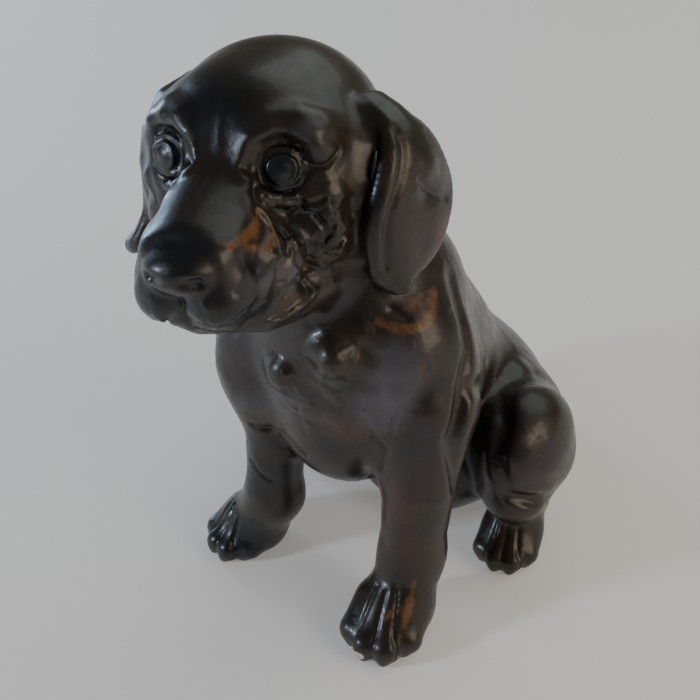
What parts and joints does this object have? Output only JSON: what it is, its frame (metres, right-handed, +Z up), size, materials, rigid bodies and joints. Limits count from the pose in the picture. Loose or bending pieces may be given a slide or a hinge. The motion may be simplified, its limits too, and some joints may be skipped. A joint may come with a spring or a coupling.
{
  "type": "dog sculpture",
  "caption": "Sitting labrador puppy sculpture with a cocked head, hanging ears and splayed fore paws, one hollow casting with a dark bronze patina.",
  "frame": {"origin": "middle of the object's plan box, on the ground it stands on", "axes": "+Z up, -Y the way the body faces, +X towards the dog's left side"},
  "size_m": [0.241, 0.352, 0.38],
  "materials": {
    "patinated_cast": "dark bronze-brown patina, waxed to a soft gloss, over a white cast body"
  },
  "bodies": {
    "root": {"dog": "patinated_cast"}
  },
  "joints": []
}
